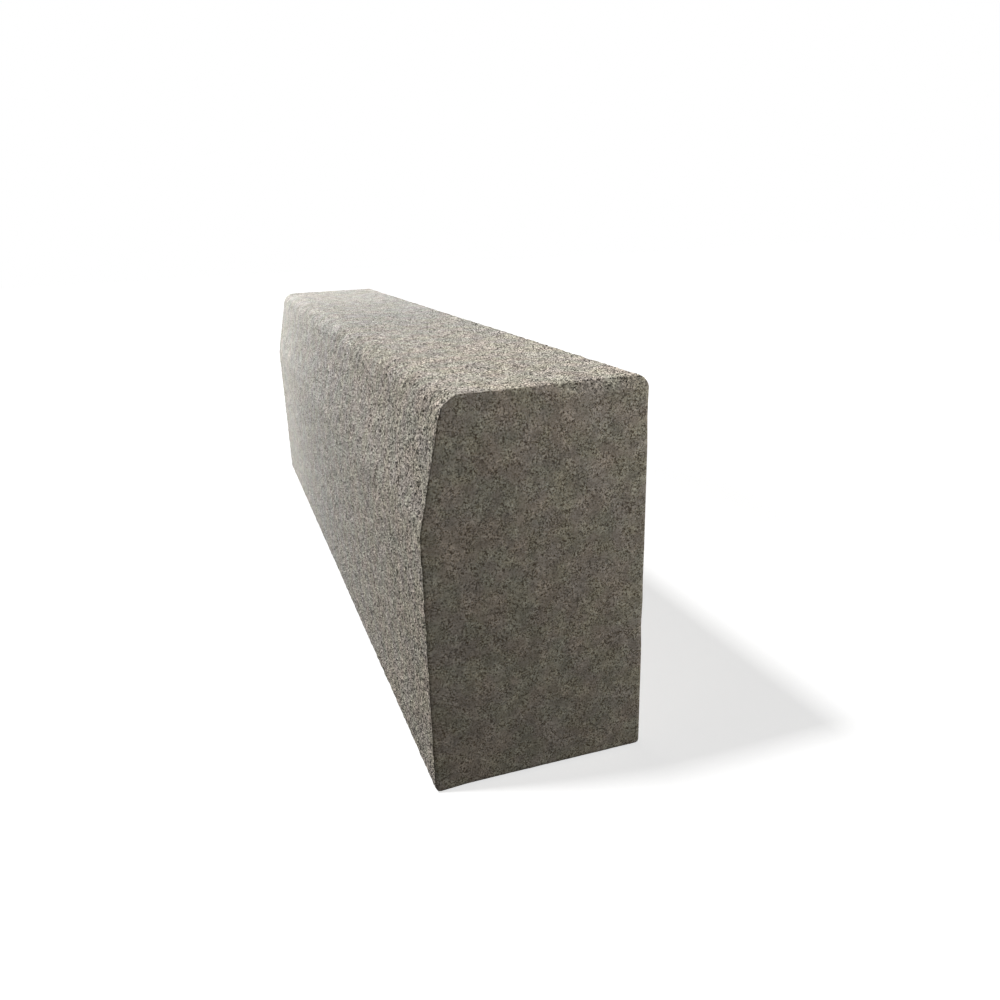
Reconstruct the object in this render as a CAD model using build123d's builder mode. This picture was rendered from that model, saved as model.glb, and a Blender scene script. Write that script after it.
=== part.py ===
from build123d import *
import os

# Half-battered granite kerb stone: one block of natural stone, sawn at the bed, back and ends.
# +X runs along the kerb, -Y looks at the road, +Y is the back, +Z is up.
# The origin is in the middle of the bed, on the floor that the stone stands on.

# Driving dimensions, in millimetres
length = 800.0
width = 145.0  # across the bed, from the road face to the back
height = 255.0  # from the bed to the top
batter_height = 80.0  # upper stretch of the road face, which leans back
batter_setback = 17.0  # how far the batter brings the top edge back from the upright face
front_arris_radius = 15.0  # rounded edge that wheels and feet meet, between batter and top
batter_turn_radius = 30.0  # soft turn from the upright face into the batter
back_arris_radius = 8.0  # eased edge between top and back
bed_arris_radius = 4.0  # edges worn round along the bed
end_arris_radius = 2.0  # edges eased all round both joint faces

# Places of the faces in the section
road_face = -width / 2
back_face = width / 2
batter_foot = height - batter_height

# The section is drawn across the run of the kerb, with its bed on the floor
with BuildPart() as kerb_stone:
    with BuildSketch(Plane.YZ.offset(-length / 2)) as section:
        with BuildLine() as outline:
            Polyline(
                (road_face, 0),
                (back_face, 0),
                (back_face, height),
                (road_face + batter_setback, height),
                (road_face, batter_foot),
                close=True,
            )
        make_face()

        # Edges along the run: bed, then the turn into the batter, then front and back of the top
        fillet(section.vertices().group_by(Axis.Y)[0], bed_arris_radius)
        batter_turn = section.vertices().sort_by_distance((road_face, batter_foot))[0]
        fillet(batter_turn, batter_turn_radius)
        front_corner = section.vertices().group_by(Axis.Y)[-1].sort_by(Axis.X)[0]
        fillet(front_corner, front_arris_radius)
        back_corner = section.vertices().group_by(Axis.Y)[-1].sort_by(Axis.X)[-1]
        fillet(back_corner, back_arris_radius)
    extrude(amount=length)

    # Edges round the two joint faces, which run into every edge along the stone
    joint_faces = kerb_stone.faces().filter_by(Axis.X)
    fillet(joint_faces.edges(), end_arris_radius)

kerb_stone.part.label = "kerb_stone"

os.makedirs("parts", exist_ok=True)
export_step(kerb_stone.part, "parts/kerb_stone.step")
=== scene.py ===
"""Looks of a half-battered granite kerb stone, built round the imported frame.

The stone is modelled as a mason would make it: a sawn block is leaned at the batter, its edges are
rounded, and the road face and top are bush-hammered. Lengths are metres, and patterns of the stone
are worked out in millimetres.
"""
import logging
import math
from collections.abc import Callable, Iterable
from dataclasses import dataclass
from enum import Enum

import bmesh
import bpy
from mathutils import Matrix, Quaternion, Vector


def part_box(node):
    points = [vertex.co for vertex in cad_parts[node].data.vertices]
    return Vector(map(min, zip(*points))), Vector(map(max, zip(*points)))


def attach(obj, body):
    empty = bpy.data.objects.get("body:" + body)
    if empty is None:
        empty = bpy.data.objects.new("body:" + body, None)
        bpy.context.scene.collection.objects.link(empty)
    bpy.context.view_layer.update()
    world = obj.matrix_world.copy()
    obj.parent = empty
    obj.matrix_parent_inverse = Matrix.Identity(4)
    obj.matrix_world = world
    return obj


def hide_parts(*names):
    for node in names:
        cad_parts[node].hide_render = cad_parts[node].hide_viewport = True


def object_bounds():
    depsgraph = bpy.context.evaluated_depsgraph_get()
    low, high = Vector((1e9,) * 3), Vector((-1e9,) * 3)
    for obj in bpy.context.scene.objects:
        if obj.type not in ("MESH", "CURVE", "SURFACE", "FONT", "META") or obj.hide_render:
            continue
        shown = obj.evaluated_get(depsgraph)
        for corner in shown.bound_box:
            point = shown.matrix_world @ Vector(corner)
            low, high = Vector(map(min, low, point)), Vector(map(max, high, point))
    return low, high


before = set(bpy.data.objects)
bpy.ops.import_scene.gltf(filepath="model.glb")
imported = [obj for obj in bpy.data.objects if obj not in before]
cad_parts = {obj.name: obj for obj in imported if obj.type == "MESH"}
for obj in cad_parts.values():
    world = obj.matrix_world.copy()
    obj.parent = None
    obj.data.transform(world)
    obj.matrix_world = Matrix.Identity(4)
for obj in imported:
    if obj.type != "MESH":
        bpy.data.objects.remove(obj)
CAD_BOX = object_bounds()

LOG = logging.getLogger("kerb_stone")
NODE = "kerb_stone"
BODY = "root"

# A millimetre in metres, and a length or share too small to matter
MM = 0.001
TINY = 1e-5

# Share of a normal from which a face looks along an axis, and share that is nearly all of a length
FACING = 0.99
NEARLY = 0.9

# Middle of a random colour, and the band that holds most of a noise
MIDDLE = (0.5, 0.5, 0.5)
NOISE_BAND = (0.36, 0.64)

Colour = tuple[float, float, float]
Place = tuple[float, float, float]
Band = tuple[float, float]
Socket = bpy.types.NodeSocket
Signal = float | Socket
Paint = Colour | Socket
MeshPart = bmesh.types.BMEdge | bmesh.types.BMFace


class Trace(Enum):
    """Values that the stone's skin keeps at each point, for its finish to read."""

    DRESSING = "dressing"
    # Depth of the hammered skin, which the material darkens as painted shade
    HOLLOW = "hollow"


class Side(Enum):
    """Sides of the stone. Both joint faces are ends."""

    END = "end"
    ROAD = "road"
    TOP = "top"
    BACK = "back"
    BED = "bed"


class Element(Enum):
    """What can be picked in a mesh."""

    EDGES = "edges"
    FACES = "faces"


class Lit(Enum):
    """What a lamp is hung for."""

    STONE = "stone"
    FLOOR = "floor"


class NodeBench:
    """Adds the nodes of one tree and wires them, so that a pattern reads from top to bottom."""

    # Sockets of a mix node that mixes colours: its factor and two colours, and its result
    MIX_INPUTS = (0, 6, 7)
    MIX_RESULT = 2

    def __init__(self, tree: bpy.types.NodeTree) -> None:
        """Keeps the tree that the nodes go into."""
        self.tree = tree

    def add(self, kind: str, *signals: object, **settings: object) -> bpy.types.Node:
        """Adds a node.

        Args:
            kind: Blender's name for the node.
            signals: signals or constants for its first inputs, in order.
            settings: properties to set on it.

        Returns:
            The new node.
        """
        node = self.tree.nodes.new(kind)
        for name, value in settings.items():
            setattr(node, name, value)
        for socket, signal in zip(node.inputs, signals):
            self.feed(socket, signal)
        return node

    def feed(self, socket: Socket, signal: object) -> None:
        """Links a signal to an input, or sets the input to a constant.

        Args:
            socket: the input.
            signal: a signal or a constant.
        """
        if isinstance(signal, Socket):
            self.tree.links.new(signal, socket)
        else:
            socket.default_value = signal

    def math(self, operation: str, *signals: Signal) -> Socket:
        """Returns the result of a math node on the given signals."""
        return self.add("ShaderNodeMath", *signals, operation=operation).outputs[0]

    def total(self, *signals: Signal) -> Socket:
        """Adds up several signals.

        Args:
            signals: what is added, in order.

        Returns:
            The sum.
        """
        result = signals[0]
        for signal in signals[1:]:
            result = self.math("ADD", result, signal)
        return result

    def swing(self, signal: Signal, amount: float) -> Socket:
        """Returns a 0 to 1 signal centred on zero and scaled to the given full swing."""
        return self.math("MULTIPLY", self.math("SUBTRACT", signal, 0.5), amount)

    def ease(
        self, signal: Signal, start: float, end: float, low: Signal = 0.0, high: Signal = 1.0
    ) -> Socket:
        """Steps a signal smoothly.

        Args:
            signal: the value that is stepped.
            start: where the step begins.
            end: where it ends.
            low: the result before the step.
            high: the result after it.

        Returns:
            The stepped signal.
        """
        steps = (signal, start, end, low, high)
        return self.add("ShaderNodeMapRange", *steps, interpolation_type="SMOOTHSTEP").outputs[0]

    def scaled(self, vector: Socket, factor: Signal) -> Socket:
        """Scales a vector.

        Args:
            vector: the vector.
            factor: what it is multiplied by.

        Returns:
            The scaled vector.
        """
        node = self.add("ShaderNodeVectorMath", vector, operation="SCALE")
        self.feed(node.inputs["Scale"], factor)
        return node.outputs["Vector"]

    def vectors(self, operation: str, *signals: object) -> Socket:
        """Returns the vector that a vector math node gives."""
        return self.add("ShaderNodeVectorMath", *signals, operation=operation).outputs["Vector"]

    def parts(self, vector: Socket) -> tuple[Socket, ...]:
        """Returns the x, y and z of a vector."""
        return tuple(self.add("ShaderNodeSeparateXYZ", vector).outputs)

    def noise(self, where: Socket, size: float, detail: float = 2.0, rough: float = 0.5) -> bpy.types.Node:
        """Adds a soft noise.

        Args:
            where: the point.
            size: size of its features, in the units of the point.
            detail: how many finer noises lie on it.
            rough: how strong each finer noise is.

        Returns:
            The noise node.
        """
        node = self.add("ShaderNodeTexNoise", where, noise_dimensions="3D")
        node.inputs["Scale"].default_value = 1.0 / size
        node.inputs["Detail"].default_value = detail
        node.inputs["Roughness"].default_value = rough
        return node

    def cells(self, where: Socket, size: float) -> bpy.types.Node:
        """Adds a pattern of cells.

        Args:
            where: the point.
            size: size of the cells, in the units of the point.

        Returns:
            The cell node.
        """
        node = self.add("ShaderNodeTexVoronoi", where, feature="F1")
        node.inputs["Scale"].default_value = 1.0 / size
        return node

    def blend(self, factor: Signal, first: Paint, second: Paint, mode: str = "MIX") -> Socket:
        """Mixes two colours.

        Args:
            factor: how much of the second colour, from 0 to 1.
            first: a colour or a colour signal.
            second: the other one.
            mode: Blender's name for the way of mixing.

        Returns:
            The mixed colour.
        """
        node = self.add("ShaderNodeMix", data_type="RGBA", blend_type=mode)
        for index, signal in zip(self.MIX_INPUTS, (factor, first, second)):
            value = (*signal, 1.0) if isinstance(signal, tuple) else signal
            self.feed(node.inputs[index], value)
        return node.outputs[self.MIX_RESULT]

    def steps(self, factor: Socket, stops: Iterable[tuple[float, Colour]]) -> Socket:
        """Reads a colour off a stepped ramp.

        Args:
            factor: where on the ramp, from 0 to 1.
            stops: place and colour of each step, in order.

        Returns:
            The colour signal.
        """
        node = self.add("ShaderNodeValToRGB", factor)
        node.color_ramp.interpolation = "CONSTANT"
        elements = node.color_ramp.elements
        elements.remove(elements[-1])
        for index, (place, colour) in enumerate(stops):
            element = elements[0] if index == 0 else elements.new(place)
            element.position = place
            element.color = (*colour, 1.0)
        return node.outputs[0]


@dataclass(frozen=True)
class Mineral:
    """One kind of crystal in the granite."""

    name: str
    colour: Colour
    share: float


@dataclass(frozen=True)
class Cloud:
    """A soft change of tint through the stone, between two tints that multiply its colour."""

    name: str
    size_mm: float
    first: Colour
    second: Colour


@dataclass(frozen=True)
class StoneFinish:
    """How one way of working leaves the granite, with its relief finer than the skin's mesh and shade
    painted into that relief's hollows.
    """

    roughness: float
    relief_size_mm: float
    relief_mm: float
    # Painted shade: the colour goes from these hollow to crest levels across the fine relief, darker in its
    # hollows and lighter on its crests
    hollow_painted_shade: float
    crest_painted_shade: float
    patch_contrast: Band
    facet_tilt: float = 0.0
    bruise: Colour = (1.0, 1.0, 1.0)
    bruise_amount: float = 0.0
    relief_detail: float = 3.0
    relief_rough: float = 0.68
    hollow_to_crest: Band = (0.33, 0.53)
    crest_share: float = 0.76

    @property
    def mean_painted_shade(self) -> float:
        """Painted shade of the relief as a whole, which is mostly crest."""
        return self.hollow_painted_shade + self.crest_share * (self.crest_painted_shade - self.hollow_painted_shade)


@dataclass(frozen=True)
class Granite:
    """The granite: its crystals, its clouds of colour and the look of its sawn and hammered faces, with
    painted shade in their hollows and a painted light colour along the run.
    """

    minerals: tuple[Mineral, ...] = (
        Mineral("black mica", (0.036, 0.025, 0.012), 0.20),
        Mineral("smoky quartz", (0.155, 0.127, 0.088), 0.12),
        Mineral("grey feldspar", (0.372, 0.335, 0.270), 0.40),
        Mineral("pale feldspar", (0.52, 0.486, 0.418), 0.20),
        Mineral("brown feldspar", (0.33, 0.285, 0.215), 0.08),
    )
    crystal_mm: float = 0.9
    fine_crystal_mm: float = 0.55
    fine_share: float = 0.5
    crystal_warp_mm: float = 1.2
    clouds: tuple[Cloud, ...] = (
        Cloud("iron stain", 22.0, (1.028, 1.007, 0.972), (0.972, 0.986, 0.993)),
        Cloud("blush", 14.0, (1.02, 0.985, 1.015), (0.98, 1.01, 0.98)),
        Cloud("dark mica", 9.0, (1.11, 1.11, 1.11), (0.85, 0.85, 0.85)),
    )
    # Painted light colour: the hammered faces are tinted warmer towards the near end and cooler towards the
    # far end
    near_painted_light_tint: Colour = (1.03, 1.0, 0.955)
    far_painted_light_tint: Colour = (0.955, 0.985, 1.03)
    tint_run_mm: Band = (-100.0, 420.0)
    far_contrast: float = 0.36
    contrast_run_mm: Band = (-420.0, 120.0)
    patch_mm: float = 7.0
    loose_facets: Band = (0.45, 0.85)
    firm_lean: float = 0.3
    sawn: StoneFinish = StoneFinish(
        roughness=0.75,
        relief_size_mm=1.1,
        relief_mm=0.12,
        hollow_painted_shade=0.16,
        crest_painted_shade=1.20,
        patch_contrast=(0.5, 1.5),
    )
    hammered: StoneFinish = StoneFinish(
        roughness=0.80,
        relief_size_mm=1.2,
        relief_mm=0.5,
        hollow_painted_shade=-0.45,
        crest_painted_shade=1.36,
        patch_contrast=(0.85, 1.2),
        facet_tilt=6.2,
        bruise=(0.53, 0.510, 0.475),
        bruise_amount=0.45,
    )
    # Painted shade: the hammered colour is multiplied by this in the skin's modelled hollows
    skin_hollow_painted_shade: float = 0.8
    darkest: Colour = (0.060, 0.042, 0.022)
    shine: float = 0.25

    @property
    def mean_colour(self) -> Colour:
        """Colour of all the crystals together."""
        return tuple(sum(mineral.colour[i] * mineral.share for mineral in self.minerals) for i in range(3))

    def material(self) -> bpy.types.Material:
        """Mixes the granite's material.

        Returns:
            A material that reads the traces which the stone's skin keeps.
        """
        material = bpy.data.materials.new("dressed_granite")
        material.use_nodes = True
        bench = NodeBench(material.node_tree)
        shader = material.node_tree.nodes["Principled BSDF"]
        place = bench.scaled(bench.add("ShaderNodeTexCoord").outputs["Object"], 1.0 / MM)
        along = bench.parts(place)[0]
        dressing = self._trace(bench, Trace.DRESSING)
        contrast = bench.ease(along, *self.contrast_run_mm, self.far_contrast, 1.0)
        crystals, facets = self._crystals(bench, place)
        sawn_colour, sawn_height = self._worked(bench, place, 1.0, crystals, self.sawn)
        hammered_colour, hammered_height = self._worked(bench, place, contrast, crystals, self.hammered)
        # Painted shade in the skin's hollows, and a painted light colour along the run
        hammered_colour = self._shaded_and_tinted(bench, along, hammered_colour)
        colour = self._clouded(bench, place, bench.blend(dressing, sawn_colour, hammered_colour))
        bench.feed(shader.inputs["Base Color"], bench.blend(1.0, colour, self.darkest, "LIGHTEN"))
        rough = bench.ease(dressing, 0.0, 1.0, self.sawn.roughness, self.hammered.roughness)
        bench.feed(shader.inputs["Roughness"], rough)
        shader.inputs["Specular IOR Level"].default_value = self.shine
        relief = bench.add("ShaderNodeBump")
        relief.inputs["Distance"].default_value = MM
        bench.feed(relief.inputs["Height"], bench.ease(dressing, 0.0, 1.0, sawn_height, hammered_height))
        tilt = bench.ease(dressing, 0.0, 1.0, self.sawn.facet_tilt, self.hammered.facet_tilt)
        tilt = bench.math("MULTIPLY", tilt, contrast)
        leaning = bench.vectors("ADD", relief.outputs["Normal"], bench.scaled(facets, tilt))
        bench.feed(shader.inputs["Normal"], bench.vectors("NORMALIZE", leaning))
        return material

    def _trace(self, bench: NodeBench, trace: Trace) -> Socket:
        """Returns one of the values that the stone's skin keeps."""
        return bench.add("ShaderNodeAttribute", attribute_name=trace.value).outputs["Fac"]

    def _crystals(self, bench: NodeBench, place: Socket) -> tuple[Socket, Socket]:
        """Grows the interlocked crystals, coarse ones with fine ones between.

        Args:
            bench: where the nodes go.
            place: the point, in millimetres.

        Returns:
            The crystals' colour, and the lean of each crystal's broken facet.
        """
        warp = bench.noise(place, self.crystal_mm, detail=1.0).outputs["Color"]
        warp = bench.vectors("SUBTRACT", warp, MIDDLE)
        bent = bench.vectors("ADD", place, bench.scaled(warp, self.crystal_warp_mm))
        stops = []
        start = 0.0
        for mineral in self.minerals:
            stops.append((start, mineral.colour))
            start += mineral.share
        coarse, fine = (
            bench.cells(bent, size).outputs["Color"] for size in (self.crystal_mm, self.fine_crystal_mm)
        )
        colours = [bench.steps(bench.parts(dice)[0], stops) for dice in (coarse, fine)]
        loose = bench.ease(bench.parts(fine)[2], *self.loose_facets, self.firm_lean, 1.0)
        lean = bench.scaled(bench.vectors("SUBTRACT", coarse, MIDDLE), loose)
        return bench.blend(self.fine_share, *colours), lean

    def _shaded_and_tinted(self, bench: NodeBench, along: Socket, colour: Socket) -> Socket:
        """Paints shade into the hammered colour in the skin's hollows, and tints it along the run with a
        painted light colour.

        Args:
            bench: where the nodes go.
            along: the point's place along the run, in millimetres.
            colour: the colour of the hammered stone.

        Returns:
            The shaded and tinted colour.
        """
        # Painted shade in the hollows that the tool marks pressed into the skin
        shade = bench.ease(self._trace(bench, Trace.HOLLOW), 0.0, 1.0, 1.0, self.skin_hollow_painted_shade)
        # Painted light colour, warm at the near end and cool at the far end
        tint = bench.blend(bench.ease(along, *self.tint_run_mm), self.far_painted_light_tint, self.near_painted_light_tint)
        return bench.blend(1.0, bench.scaled(colour, shade), tint, "MULTIPLY")

    def _clouded(self, bench: NodeBench, place: Socket, colour: Socket) -> Socket:
        """Lays the clouds of tint over the stone's colour.

        Args:
            bench: where the nodes go.
            place: the point, in millimetres.
            colour: the colour without clouds.

        Returns:
            The clouded colour.
        """
        for cloud in self.clouds:
            noise = bench.noise(place, cloud.size_mm, detail=1.0)
            noise.label = cloud.name
            drift = bench.ease(noise.outputs[0], *NOISE_BAND)
            colour = bench.blend(1.0, colour, bench.blend(drift, cloud.first, cloud.second), "MULTIPLY")
        return colour

    def _worked(
        self, bench: NodeBench, place: Socket, contrast: Signal, crystals: Socket, finish: StoneFinish
    ) -> tuple[Socket, Socket]:
        """Works the crystals with one finish, and paints shade into the hollows of its fine relief.

        Args:
            bench: where the nodes go.
            place: the point, in millimetres.
            contrast: how much the crystals and the relief's painted shade stand out, from 0 to 1.
            crystals: the colour of the bare crystals.
            finish: the way of working.

        Returns:
            The colour with its painted shade, and the height of the fine relief in millimetres.
        """
        patches = bench.noise(place, self.patch_mm).outputs[0]
        patchy = bench.ease(patches, *NOISE_BAND, *finish.patch_contrast)
        contrast = bench.math("MULTIPLY", contrast, patchy)
        crystals = bench.blend(contrast, self.mean_colour, crystals)
        grain = bench.noise(place, finish.relief_size_mm, finish.relief_detail, finish.relief_rough)
        relief = grain.outputs[0]
        # Painted shade: darker in the fine relief's hollows, lighter on its crests
        shade = bench.ease(relief, *finish.hollow_to_crest, finish.hollow_painted_shade, finish.crest_painted_shade)
        shade = bench.math("MULTIPLY", bench.math("SUBTRACT", shade, finish.mean_painted_shade), contrast)
        shade = bench.math("ADD", shade, finish.mean_painted_shade)
        bruised = bench.blend(finish.bruise_amount, crystals, finish.bruise)
        return bench.scaled(bruised, shade), bench.swing(relief, finish.relief_mm)


@dataclass(frozen=True)
class Unevenness:
    """Soft ups and downs of the stone's skin, in millimetres."""

    size: float
    depth: float
    detail: float = 1.0

    def drop(self, bench: NodeBench, place: Socket) -> Socket:
        """Returns how deep it goes at a point, as much above zero as below."""
        return bench.swing(bench.noise(place, self.size, self.detail).outputs[0], self.depth)


@dataclass(frozen=True)
class SawnMargin:
    """The strip beside a sawn face that the hammer keeps off, by depth from that face in millimetres."""

    side: Side
    sawn_to: float
    hammered_from: float


@dataclass(frozen=True)
class BrokenArris:
    """A stretch of an edge of the near joint face that has been knocked off, in millimetres."""

    name: str
    starts_at: float
    full_at: float
    back: float
    down: float
    ragged: float
    at_top: bool


@dataclass(frozen=True)
class ToolMarks:
    """The relief that hammer, saw and handling leave in the stone's skin, in millimetres."""

    pit_size: float = 5.4
    pit_depth: float = 0.5
    pit_wall: Band = (0.2, 0.75)
    spalls: Unevenness = Unevenness(3.6, 2.3, 2.0)
    fret: Unevenness = Unevenness(14.0, 0.3)
    sag: Unevenness = Unevenness(90.0, 0.5)
    hammered_level: float = 0.25
    hollow_from_to: Band = (0.2, 1.4)
    saw_sag: Unevenness = Unevenness(90.0, 0.3)
    saw_level: float = 0.1
    margins: tuple[SawnMargin, ...] = (
        SawnMargin(Side.END, 0.2, 1.0),
        SawnMargin(Side.BACK, 1.5, 5.0),
        SawnMargin(Side.BED, 0.6, 2.4),
    )
    ragged_margin: Unevenness = Unevenness(5.0, 2.0, 2.0)
    scatter: float = 1.3
    scatter_from_end: Band = (2.0, 4.0)
    arris_reach: float = 2.2
    arris_wear: float = 0.05
    chip_size: float = 4.0
    chip_depth: float = 0.9
    chip_wall: Band = (0.5, 0.7)
    crumb_detail: float = 3.0
    crumb_rough: float = 0.6
    broken: tuple[BrokenArris, ...] = (
        BrokenArris("top_back_corner", -22.0, 40.0, 3.2, 8.0, 1.6, True),
        BrokenArris("bed_front", -64.0, -58.0, 2.5, 1.8, 0.4, False),
    )
    broken_size: float = 5.0
    broken_grain: float = 0.4
    broken_rim: float = 0.08

    def tree(self, stone: "KerbStone") -> bpy.types.NodeTree:
        """Wires the nodes that press the relief into the stone's skin.

        Args:
            stone: the stone, for the places of its faces.

        Returns:
            A geometry node tree.
        """
        tree = bpy.data.node_groups.new("tool_marks", "GeometryNodeTree")
        tree.interface.new_socket("Geometry", in_out="INPUT", socket_type="NodeSocketGeometry")
        tree.interface.new_socket("Geometry", in_out="OUTPUT", socket_type="NodeSocketGeometry")
        bench = NodeBench(tree)
        skin = bench.add("NodeGroupInput").outputs[0]
        normal = bench.add("GeometryNodeInputNormal").outputs[0]
        place = bench.scaled(bench.add("GeometryNodeInputPosition").outputs[0], 1.0 / MM)
        depths = self._face_depths(bench, place, stone)
        dressing = self._dressing(bench, place, depths)
        hammered = self._hammered_drop(bench, place)
        # How deep the hammered skin lies, kept for the material's painted shade
        hollow = bench.ease(hammered, *self.hollow_from_to)
        worked = bench.ease(dressing, 0.0, 1.0, self._sawn_drop(bench, place), hammered)
        drop = bench.math("ADD", bench.math("MAXIMUM", worked, 0.0), self._edge_drop(bench, place, depths))
        moved = bench.vectors("SUBTRACT", place, bench.scaled(normal, drop))
        moved = bench.vectors("ADD", moved, self._scattered(bench, place, normal, depths[Side.END]))
        for arris in self.broken:
            moved, gone = self._broken_off(bench, moved, arris, stone)
            grain = bench.ease(gone, 0.0, self.broken_rim, 0.0, self.broken_grain)
            dressing = bench.math("MAXIMUM", dressing, grain)
        for trace, signal in ((Trace.DRESSING, dressing), (Trace.HOLLOW, hollow)):
            skin = self._keep(bench, skin, trace, signal)
        # The skin stays inside the solid's box
        for operation, corner in (("MAXIMUM", CAD_BOX[0]), ("MINIMUM", CAD_BOX[1])):
            moved = bench.vectors(operation, moved, tuple(Vector(corner) / MM))
        pressed = bench.add("GeometryNodeSetPosition", skin)
        bench.feed(pressed.inputs["Position"], bench.scaled(moved, MM))
        bench.add("NodeGroupOutput", pressed.outputs[0])
        return tree

    def _keep(self, bench: NodeBench, skin: Socket, trace: Trace, signal: Socket) -> Socket:
        """Keeps one more value at the points of the skin.

        Args:
            bench: where the nodes go.
            skin: the skin so far.
            trace: the name of the value.
            signal: the value.

        Returns:
            The skin with the value.
        """
        node = bench.add("GeometryNodeStoreNamedAttribute", skin, data_type="FLOAT", domain="POINT")
        node.inputs["Name"].default_value = trace.value
        bench.feed(node.inputs["Value"], signal)
        return node.outputs[0]

    def _face_depths(self, bench: NodeBench, place: Socket, stone: "KerbStone") -> dict[Side, Socket]:
        """Measures how far inside each face of the stone a point lies.

        Args:
            bench: where the nodes go.
            place: the point.
            stone: the stone, for the places of its faces.

        Returns:
            The depths, by side.
        """
        x, y, z = bench.parts(place)
        half_length = stone.length / 2 / MM
        half_width = stone.width / 2 / MM
        foot = stone.batter_foot / MM
        lean = stone.batter_angle
        from_upright = bench.math("ADD", y, half_width)
        up_batter = bench.math("SUBTRACT", z, foot)
        across = bench.math("MULTIPLY", from_upright, math.cos(lean))
        from_batter = bench.math("SUBTRACT", across, bench.math("MULTIPLY", up_batter, math.sin(lean)))
        return {
            Side.END: bench.math("SUBTRACT", half_length, bench.math("ABSOLUTE", x)),
            Side.ROAD: bench.math("MINIMUM", from_upright, from_batter),
            Side.TOP: bench.math("SUBTRACT", stone.height / MM, z),
            Side.BACK: bench.math("SUBTRACT", half_width, y),
            Side.BED: z,
        }

    def _dressing(self, bench: NodeBench, place: Socket, depths: dict[Side, Socket]) -> Socket:
        """Tells hammered stone from sawn.

        Args:
            bench: where the nodes go.
            place: the point.
            depths: how far inside each face it lies.

        Returns:
            1 where the stone is bush-hammered and 0 where it is sawn.
        """
        ragged = self.ragged_margin.drop(bench, place)
        result = 1.0
        for margin in self.margins:
            depth = bench.math("ADD", depths[margin.side], ragged)
            inside = bench.ease(depth, margin.sawn_to, margin.hammered_from)
            result = bench.math("MULTIPLY", result, inside)
        return result

    def _hammered_drop(self, bench: NodeBench, place: Socket) -> Socket:
        """Strikes the bush hammer's pits and spalls off grains round them.

        Args:
            bench: where the nodes go.
            place: the point.

        Returns:
            How deep the hammer has gone.
        """
        from_middle = bench.cells(place, self.pit_size).outputs["Distance"]
        pits = bench.ease(from_middle, *self.pit_wall, self.pit_depth, 0.0)
        uneven = [layer.drop(bench, place) for layer in (self.spalls, self.fret, self.sag)]
        return bench.total(pits, self.hammered_level, *uneven)

    def _sawn_drop(self, bench: NodeBench, place: Socket) -> Socket:
        """Returns how deep the saw has gone."""
        return bench.total(self.saw_sag.drop(bench, place), self.saw_level)

    def _edge_drop(self, bench: NodeBench, place: Socket, depths: dict[Side, Socket]) -> Socket:
        """Wears and chips the stone near its arrises, where a point lies close to two faces.

        Args:
            bench: where the nodes go.
            place: the point.
            depths: how far inside each face it lies.

        Returns:
            How much has come off.
        """
        falls = [bench.math("MULTIPLY", depth, -1.0 / self.arris_reach) for depth in depths.values()]
        fades = [bench.math("EXPONENT", fall) for fall in falls]
        near = bench.math("MAXIMUM", bench.math("SUBTRACT", bench.total(*fades), 1.0), 0.0)
        flaws = bench.noise(place, self.chip_size, self.crumb_detail, self.crumb_rough).outputs[0]
        chips = bench.ease(flaws, *self.chip_wall, 0.0, self.chip_depth)
        return bench.math("MULTIPLY", near, bench.math("ADD", chips, self.arris_wear))

    def _scattered(self, bench: NodeBench, place: Socket, normal: Socket, from_end: Socket) -> Socket:
        """Throws a small random move within the face, so that the relief shows no rows.

        Args:
            bench: where the nodes go.
            place: the point.
            normal: the way the face looks there.
            from_end: how far the point lies from the nearer joint face.

        Returns:
            The move.
        """
        dice = bench.add("ShaderNodeTexWhiteNoise", place, noise_dimensions="3D")
        throw = bench.vectors("SUBTRACT", dice.outputs["Color"], MIDDLE)
        within = bench.vectors("SUBTRACT", throw, bench.vectors("PROJECT", throw, normal))
        return bench.scaled(within, bench.ease(from_end, *self.scatter_from_end, 0.0, self.scatter))

    def _broken_off(
        self, bench: NodeBench, place: Socket, arris: BrokenArris, stone: "KerbStone"
    ) -> tuple[Socket, Socket]:
        """Takes a point back to the sloping break along a broken arris.

        Args:
            bench: where the nodes go.
            place: the point.
            arris: the broken stretch.
            stone: the stone, for its size.

        Returns:
            The point's new place, and how far outside the break it lay, as a share of the break.
        """
        x, y, z = bench.parts(place)
        level = stone.height / MM if arris.at_top else 0.0
        outward = 1.0 if arris.at_top else -1.0
        from_end = bench.math("SUBTRACT", stone.length / 2 / MM, x)
        from_face = bench.math("MULTIPLY", bench.math("SUBTRACT", level, z), outward)
        crumbs = bench.noise(place, self.broken_size, self.crumb_detail, self.crumb_rough)
        crumbs.label = arris.name
        ragged = bench.swing(crumbs.outputs[0], arris.ragged)
        reach = bench.ease(y, arris.starts_at, arris.full_at)
        reach = bench.math("MULTIPLY", reach, bench.math("ADD", ragged, 1.0))
        gone = bench.math("SUBTRACT", reach, bench.math("DIVIDE", from_end, arris.back))
        gone = bench.math("SUBTRACT", gone, bench.math("DIVIDE", from_face, arris.down))
        gone = bench.math("MAXIMUM", gone, 0.0)
        slope = Vector((1.0 / arris.back, 0.0, outward / arris.down))
        shares = slope / slope.length_squared
        step = bench.add("ShaderNodeCombineXYZ", *(bench.math("MULTIPLY", gone, share) for share in shares))
        return bench.vectors("SUBTRACT", place, step.outputs[0]), gone


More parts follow.
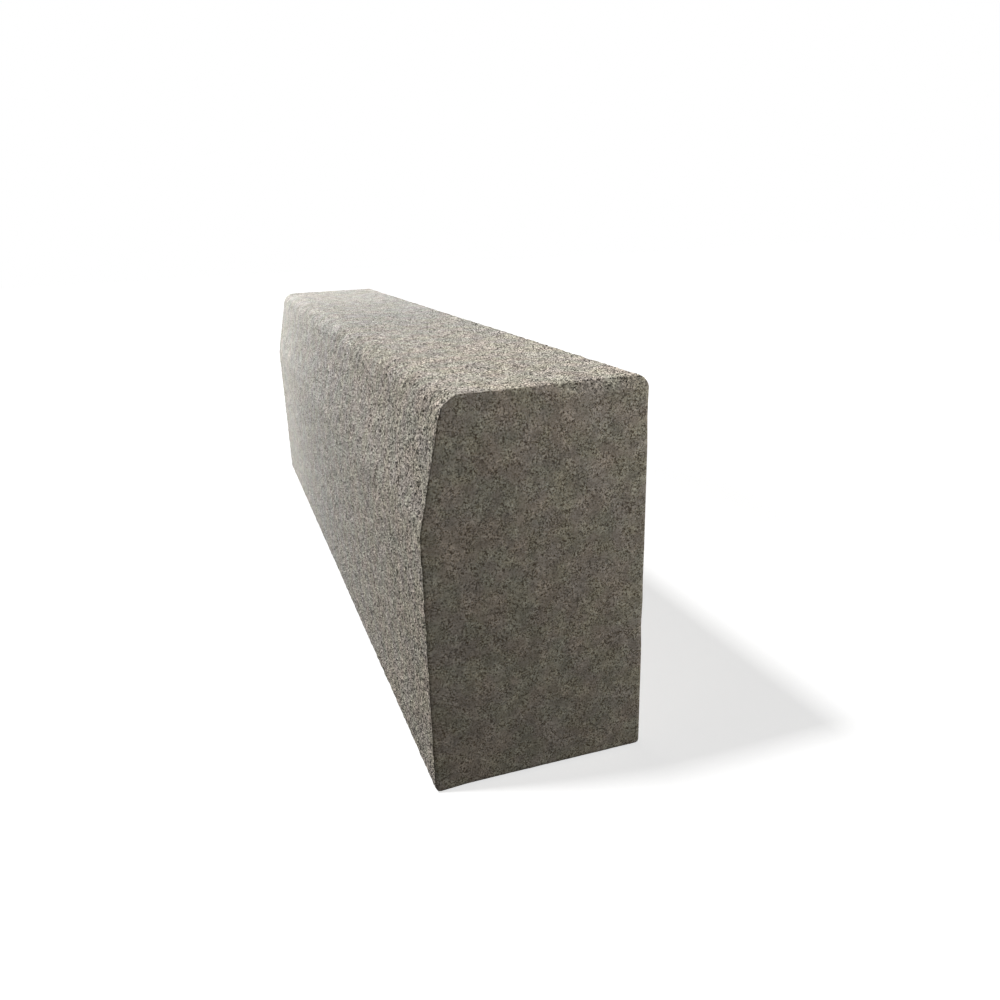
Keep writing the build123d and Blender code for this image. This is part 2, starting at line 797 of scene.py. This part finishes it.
@dataclass
class KerbStone:
    """The stone: a sawn block, leaned at the batter, rounded along its edges and tooled."""

    length: float
    width: float
    height: float
    batter_height: float = 0.080
    batter_setback: float = 0.017
    front_arris_radius: float = 0.015
    batter_turn_radius: float = 0.030
    back_arris_radius: float = 0.008
    bed_arris_radius: float = 0.004
    end_arris_radius: float = 0.001
    pitch: float = 0.0021
    plain_pitch: float = 0.018
    closest_pitch: float = 0.00126
    run_groups: int = 20
    marks: ToolMarks = ToolMarks()
    piece: bpy.types.Object | None = None

    @property
    def batter_foot(self) -> float:
        """Height at which the road face begins to lean."""
        return self.height - self.batter_height

    @property
    def batter_angle(self) -> float:
        """Lean of the batter from upright, in radians."""
        return math.atan2(self.batter_setback, self.batter_height)

    @property
    def triangles(self) -> int:
        """How many triangles the finished skin has."""
        return sum(len(face.vertices) - 2 for face in self.piece.data.polygons)

    def build(self) -> None:
        """Models the stone from a block to its tooled skin."""
        bpy.ops.object.select_all(action="DESELECT")
        bpy.ops.mesh.primitive_cube_add(
            size=1.0, location=(0.0, 0.0, self.height / 2), scale=(self.length, self.width, self.height)
        )
        self.piece = bpy.context.object
        self.piece.name = "dressed_stone"
        bpy.ops.object.transform_apply(location=True, rotation=False, scale=True)
        bpy.ops.object.mode_set(mode="EDIT")
        self._lean_batter()
        self._round_edges()
        self._divide_rows()
        self._divide_joint_faces()
        self._divide_run()
        bpy.ops.mesh.select_all(action="SELECT")
        bpy.ops.mesh.normals_make_consistent(inside=False)
        bpy.ops.object.mode_set(mode="OBJECT")
        self._press_marks()
        bpy.ops.object.shade_smooth()

    def dress(self, granite: Granite) -> None:
        """Gives the stone its finish and puts it in the place of the plain solid.

        Args:
            granite: the stone's finish.
        """
        self.piece.data.materials.append(granite.material())
        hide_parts(NODE)
        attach(self.piece, BODY)
        crystals = ", ".join(mineral.name for mineral in granite.minerals)
        LOG.info("%s: granite of %s", self.piece.name, crystals)

    def _pick(self, kind: Element, test: Callable[[MeshPart], bool]) -> None:
        """Selects only the edges or faces that pass a test.

        Args:
            kind: edges or faces.
            test: tells whether one of them is wanted.
        """
        bpy.ops.mesh.select_mode(type="EDGE" if kind is Element.EDGES else "FACE")
        bpy.ops.mesh.select_all(action="DESELECT")
        skin = bmesh.from_edit_mesh(self.piece.data)
        for element in getattr(skin, kind.value):
            if test(element):
                element.select_set(True)
        bmesh.update_edit_mesh(self.piece.data)

    def _pick_joint_faces(self) -> None:
        """Selects only the faces that look along the run."""
        self._pick(Element.FACES, lambda face: abs(face.normal.x) > FACING)

    def _along(self, edge: bmesh.types.BMEdge, way: Vector) -> bool:
        """Tells whether an edge runs along a direction."""
        line = edge.verts[1].co - edge.verts[0].co
        return abs(line.dot(way)) > (1.0 - TINY) * line.length

    def _lean_batter(self) -> None:
        """Cuts the road face at the batter's foot and brings its top edge back."""
        self._pick(Element.FACES, lambda face: face.normal.y < -FACING)
        bpy.ops.mesh.bisect(plane_co=(0.0, 0.0, self.batter_foot), plane_no=(0.0, 0.0, 1.0))
        top = self.height - TINY
        self._pick(Element.EDGES, lambda edge: all(v.co.y < 0.0 and v.co.z > top for v in edge.verts))
        bpy.ops.transform.translate(value=(0.0, self.batter_setback, 0.0))

    def _round_edges(self) -> None:
        """Rounds the edges along the run, then the edges round both joint faces."""
        road = -self.width / 2
        back = self.width / 2
        square = math.pi / 2
        edges = (
            (road, 0.0, self.bed_arris_radius, square),
            (back, 0.0, self.bed_arris_radius, square),
            (road, self.batter_foot, self.batter_turn_radius, self.batter_angle),
            (road + self.batter_setback, self.height, self.front_arris_radius, square - self.batter_angle),
            (back, self.height, self.back_arris_radius, square),
        )
        for y, z, radius, turn in edges:
            line = Vector((y, z))
            self._pick(Element.EDGES, lambda edge: all((v.co.yz - line).length < TINY for v in edge.verts))
            self._bevel(radius, turn)
        end = self.length / 2 - TINY
        for side in (-1.0, 1.0):
            self._pick(Element.EDGES, lambda edge: all(v.co.x * side > end for v in edge.verts))
            self._bevel(self.end_arris_radius, square)

    def _bevel(self, radius: float, turn: float) -> None:
        """Rounds the selected edges.

        Args:
            radius: radius of the rounding.
            turn: angle between the two faces' directions, in radians.
        """
        bpy.ops.mesh.bevel(
            offset_type="OFFSET",
            offset=radius * math.tan(turn / 2),
            segments=max(2, round(radius * turn / self.pitch)),
            profile=0.5,
            affect="EDGES",
            clamp_overlap=False,
        )

    def _divide_rows(self) -> None:
        """Opens the joint faces and divides the flat faces into rows along the run."""
        self._pick_joint_faces()
        bpy.ops.mesh.delete(type="ONLY_FACE")
        # What lies this close to a face counts as on it, so that the eased ends are divided too
        slack = 4 * self.end_arris_radius
        upright = Vector((0.0, 0.0, 1.0))
        level = Vector((0.0, 1.0, 0.0))
        leaning = Vector((0.0, self.batter_setback, self.batter_height)).normalized()
        strips = (
            (upright, self.pitch, lambda v: v.co.y < -self.width / 2 + slack),
            (leaning, self.pitch, lambda v: v.co.y < 0.0),
            (level, self.pitch, lambda v: v.co.z > self.height - slack),
            (upright, self.plain_pitch, lambda v: v.co.y > self.width / 2 - slack),
            (level, self.plain_pitch, lambda v: v.co.z < slack),
        )
        for way, pitch, on_face in strips:
            lengths = []

            def crosses(edge: bmesh.types.BMEdge) -> bool:
                """Tells whether an edge crosses the strip, and notes its length.

                Args:
                    edge: the edge.

                Returns:
                    Whether it does.
                """
                if edge.calc_length() < 2 * self.pitch or not all(map(on_face, edge.verts)):
                    return False
                wanted = self._along(edge, way)
                if wanted:
                    lengths.append(edge.calc_length())
                return wanted

            self._pick(Element.EDGES, crosses)
            bpy.ops.mesh.subdivide(number_cuts=round(max(lengths) / pitch) - 1)

    def _divide_joint_faces(self) -> None:
        """Closes both joint faces and cuts them in line with the rows of the road face and the top."""
        for side in (-1.0, 1.0):
            self._pick(Element.EDGES, lambda edge: edge.is_boundary and edge.verts[0].co.x * side > 0.0)
            bpy.ops.mesh.edge_face_add()
        half = self.length / 2
        skin = bmesh.from_edit_mesh(self.piece.data)
        rim = [v.co.copy() for v in skin.verts if v.co.x > half - TINY]
        top_front = -self.width / 2 + self.batter_setback + self.front_arris_radius
        heights = self._thinned(p.z for p in rim if p.y < top_front)
        offsets = self._thinned(p.y for p in rim if p.z > self.batter_foot)
        self._pick_joint_faces()
        bpy.ops.mesh.hide(unselected=True)
        for z in heights:
            self._cut((0.0, 0.0, z), (0.0, 0.0, 1.0))
        for y in offsets:
            self._cut((0.0, y, 0.0), (0.0, 1.0, 0.0))
        bpy.ops.mesh.reveal(select=False)

    def _thinned(self, places: Iterable[float]) -> list[float]:
        """Sorts places and leaves out those that crowd the one before or the outline.

        Args:
            places: the places along one axis.

        Returns:
            The places that stay, in order.
        """
        result: list[float] = []
        for place in sorted(places):
            if not result or place - result[-1] > self.closest_pitch:
                result.append(place)
        return result[1:-1]

    def _cut(self, point: Place, normal: Place) -> None:
        """Cuts all that shows with a plane."""
        bpy.ops.mesh.select_all(action="SELECT")
        bpy.ops.mesh.bisect(plane_co=point, plane_no=normal)

    def _divide_run(self) -> None:
        """Divides the stone along its run, in groups and then within each group."""
        run = Vector((1.0, 0.0, 0.0))
        self._pick(Element.EDGES, lambda edge: edge.calc_length() > self.length / 2)
        bpy.ops.mesh.subdivide(number_cuts=self.run_groups - 1)
        group = (self.length - 2 * self.end_arris_radius) / self.run_groups
        whole = NEARLY * group
        self._pick(Element.EDGES, lambda edge: edge.calc_length() > whole and self._along(edge, run))
        bpy.ops.mesh.subdivide(number_cuts=round(group / self.pitch) - 1)

    def _press_marks(self) -> None:
        """Presses hammer marks, saw sag and chipped edges into the skin."""
        modifier = self.piece.modifiers.new("tool_marks", "NODES")
        modifier.node_group = self.marks.tree(self)
        bpy.ops.object.modifier_apply(modifier=modifier.name)


@dataclass(frozen=True)
class Softbox:
    """A soft lamp that looks at the stone, hung for the stone or for its shadow on the floor."""

    name: str
    lit: Lit
    place: Place
    size: float
    watts: float
    target: Place = (0.05, 0.0, 0.14)

    def build(self, receivers: bpy.types.Collection) -> None:
        """Hangs the lamp.

        Args:
            receivers: the objects that it lights.
        """
        lamp = bpy.data.lights.new(self.name, "AREA")
        lamp.shape = "SQUARE"
        lamp.size = self.size
        lamp.energy = self.watts
        holder = bpy.data.objects.new(self.name, lamp)
        holder.location = self.place
        way = Vector(self.target) - Vector(self.place)
        holder.rotation_euler = way.to_track_quat("-Z", "Y").to_euler()
        holder.light_linking.receiver_collection = receivers
        bpy.context.scene.collection.objects.link(holder)


@dataclass(frozen=True)
class Viewpoint:
    """Where the camera stands, what it looks at and its lens."""

    eye: Place = (0.8248, -0.1734, 0.3444)
    target: Place = (0.0428, 0.0696, 0.0655)
    roll_degrees: float = 2.371
    lens_mm: float = 29.633
    sensor_mm: float = 36.0
    shift_x: float = 0.03
    nearest: float = 0.01

    def build(self) -> None:
        """Sets up the camera and makes it the scene's own."""
        camera = bpy.data.cameras.new("camera")
        camera.sensor_width = self.sensor_mm
        camera.lens = self.lens_mm
        camera.shift_x = self.shift_x
        camera.clip_start = self.nearest
        holder = bpy.data.objects.new("camera", camera)
        way = Vector(self.target) - Vector(self.eye)
        roll = Quaternion((0.0, 0.0, 1.0), -math.radians(self.roll_degrees))
        holder.rotation_mode = "QUATERNION"
        holder.rotation_quaternion = way.to_track_quat("-Z", "Y") @ roll
        holder.location = self.eye
        bpy.context.scene.collection.objects.link(holder)
        bpy.context.scene.camera = holder


@dataclass(frozen=True)
class Studio:
    """A white studio: pale floor, soft lamps and a faint even sky."""

    floor_size: float = 12.0
    floor_glow: float = 0.72
    far_glow: float = 1.1
    glow_turns: Band = (0.42, 0.85)
    floor_colour: Colour = (0.80, 0.80, 0.80)
    bounce_colour: Colour = (0.08, 0.08, 0.08)
    sky_strength: float = 0.02
    white: Colour = (1.0, 1.0, 1.0)
    lamps: tuple[Softbox, ...] = (
        Softbox("far_top", Lit.STONE, (-0.7, 0.2, 1.87), 0.8, 50.0),
        Softbox("far_side", Lit.STONE, (-0.72, -1.17, 0.46), 0.6, 28.0),
        Softbox("right_near", Lit.STONE, (0.68, 0.52, 0.58), 0.3, 4.4),
        Softbox("floor", Lit.FLOOR, (0.12, -0.98, 2.04), 0.2, 24.0),
    )

    def build(self, stone: bpy.types.Object) -> None:
        """Lays the floor, lights the sky and hangs the lamps.

        Args:
            stone: the object that is shown.
        """
        bpy.context.scene.view_settings.view_transform = "Standard"
        shown = {Lit.STONE: stone, Lit.FLOOR: self._floor()}
        self._sky()
        for lit, thing in shown.items():
            receivers = bpy.data.collections.new(f"lit_{lit.value}")
            receivers.objects.link(thing)
            for lamp in self.lamps:
                if lamp.lit is lit:
                    lamp.build(receivers)

    def _seen(self, bench: NodeBench) -> Socket:
        """Tells which rays show the background, straight or in a reflection.

        Args:
            bench: where the nodes go.

        Returns:
            1 for such a ray and 0 for any other.
        """
        path = bench.add("ShaderNodeLightPath")
        names = ("Is Camera Ray", "Is Glossy Ray", "Is Transmission Ray")
        return bench.math("MINIMUM", bench.total(*(path.outputs[name] for name in names)), 1.0)

    def _floor(self) -> bpy.types.Object:
        """Lays a pale floor that shows white, keeps the stone's shadow and fades to even white far off.

        Returns:
            The floor.
        """
        bpy.ops.object.select_all(action="DESELECT")
        bpy.ops.mesh.primitive_plane_add(size=self.floor_size)
        floor = bpy.context.object
        floor.name = "floor"
        floor.data.materials.append(self._floor_material())
        return floor

    def _floor_material(self) -> bpy.types.Material:
        """Mixes the floor's material: it glows where it is seen, and throws little light on the stone.

        Returns:
            The material.
        """
        material = bpy.data.materials.new("white_floor")
        material.use_nodes = True
        material.node_tree.nodes.clear()
        bench = NodeBench(material.node_tree)
        place = bench.add("ShaderNodeTexCoord").outputs["Object"]
        away = bench.add("ShaderNodeVectorMath", place, operation="LENGTH").outputs["Value"]
        strength = bench.ease(away, *self.glow_turns, self.floor_glow, self.far_glow)
        glow = bench.add("ShaderNodeEmission", (*self.white, 1.0), strength)
        pale = bench.add("ShaderNodeBsdfDiffuse", (*self.floor_colour, 1.0))
        shown = bench.add("ShaderNodeAddShader", glow.outputs[0], pale.outputs[0])
        bounce = bench.add("ShaderNodeBsdfDiffuse", (*self.bounce_colour, 1.0))
        mix = bench.add("ShaderNodeMixShader", self._seen(bench), bounce.outputs[0], shown.outputs[0])
        bench.add("ShaderNodeOutputMaterial", mix.outputs[0])
        return material

    def _sky(self) -> None:
        """Lights the stone evenly from all round, and shows white behind it."""
        world = bpy.data.worlds.new("studio")
        bpy.context.scene.world = world
        world.use_nodes = True
        bench = NodeBench(world.node_tree)
        background = world.node_tree.nodes["Background"]
        background.inputs["Color"].default_value = (*self.white, 1.0)
        strength = bench.ease(self._seen(bench), 0.0, 1.0, self.sky_strength, 1.0)
        bench.feed(background.inputs["Strength"], strength)


def main() -> None:
    """Builds the stone and its studio, in order."""
    logging.basicConfig(level=logging.INFO)
    low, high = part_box(NODE)
    stone = KerbStone(*(high - low))
    stone.build()
    stone.dress(Granite())
    LOG.info("%s: %d triangles", stone.piece.name, stone.triangles)
    Studio().build(stone.piece)
    Viewpoint().build()


if __name__ == "__main__":
    main()
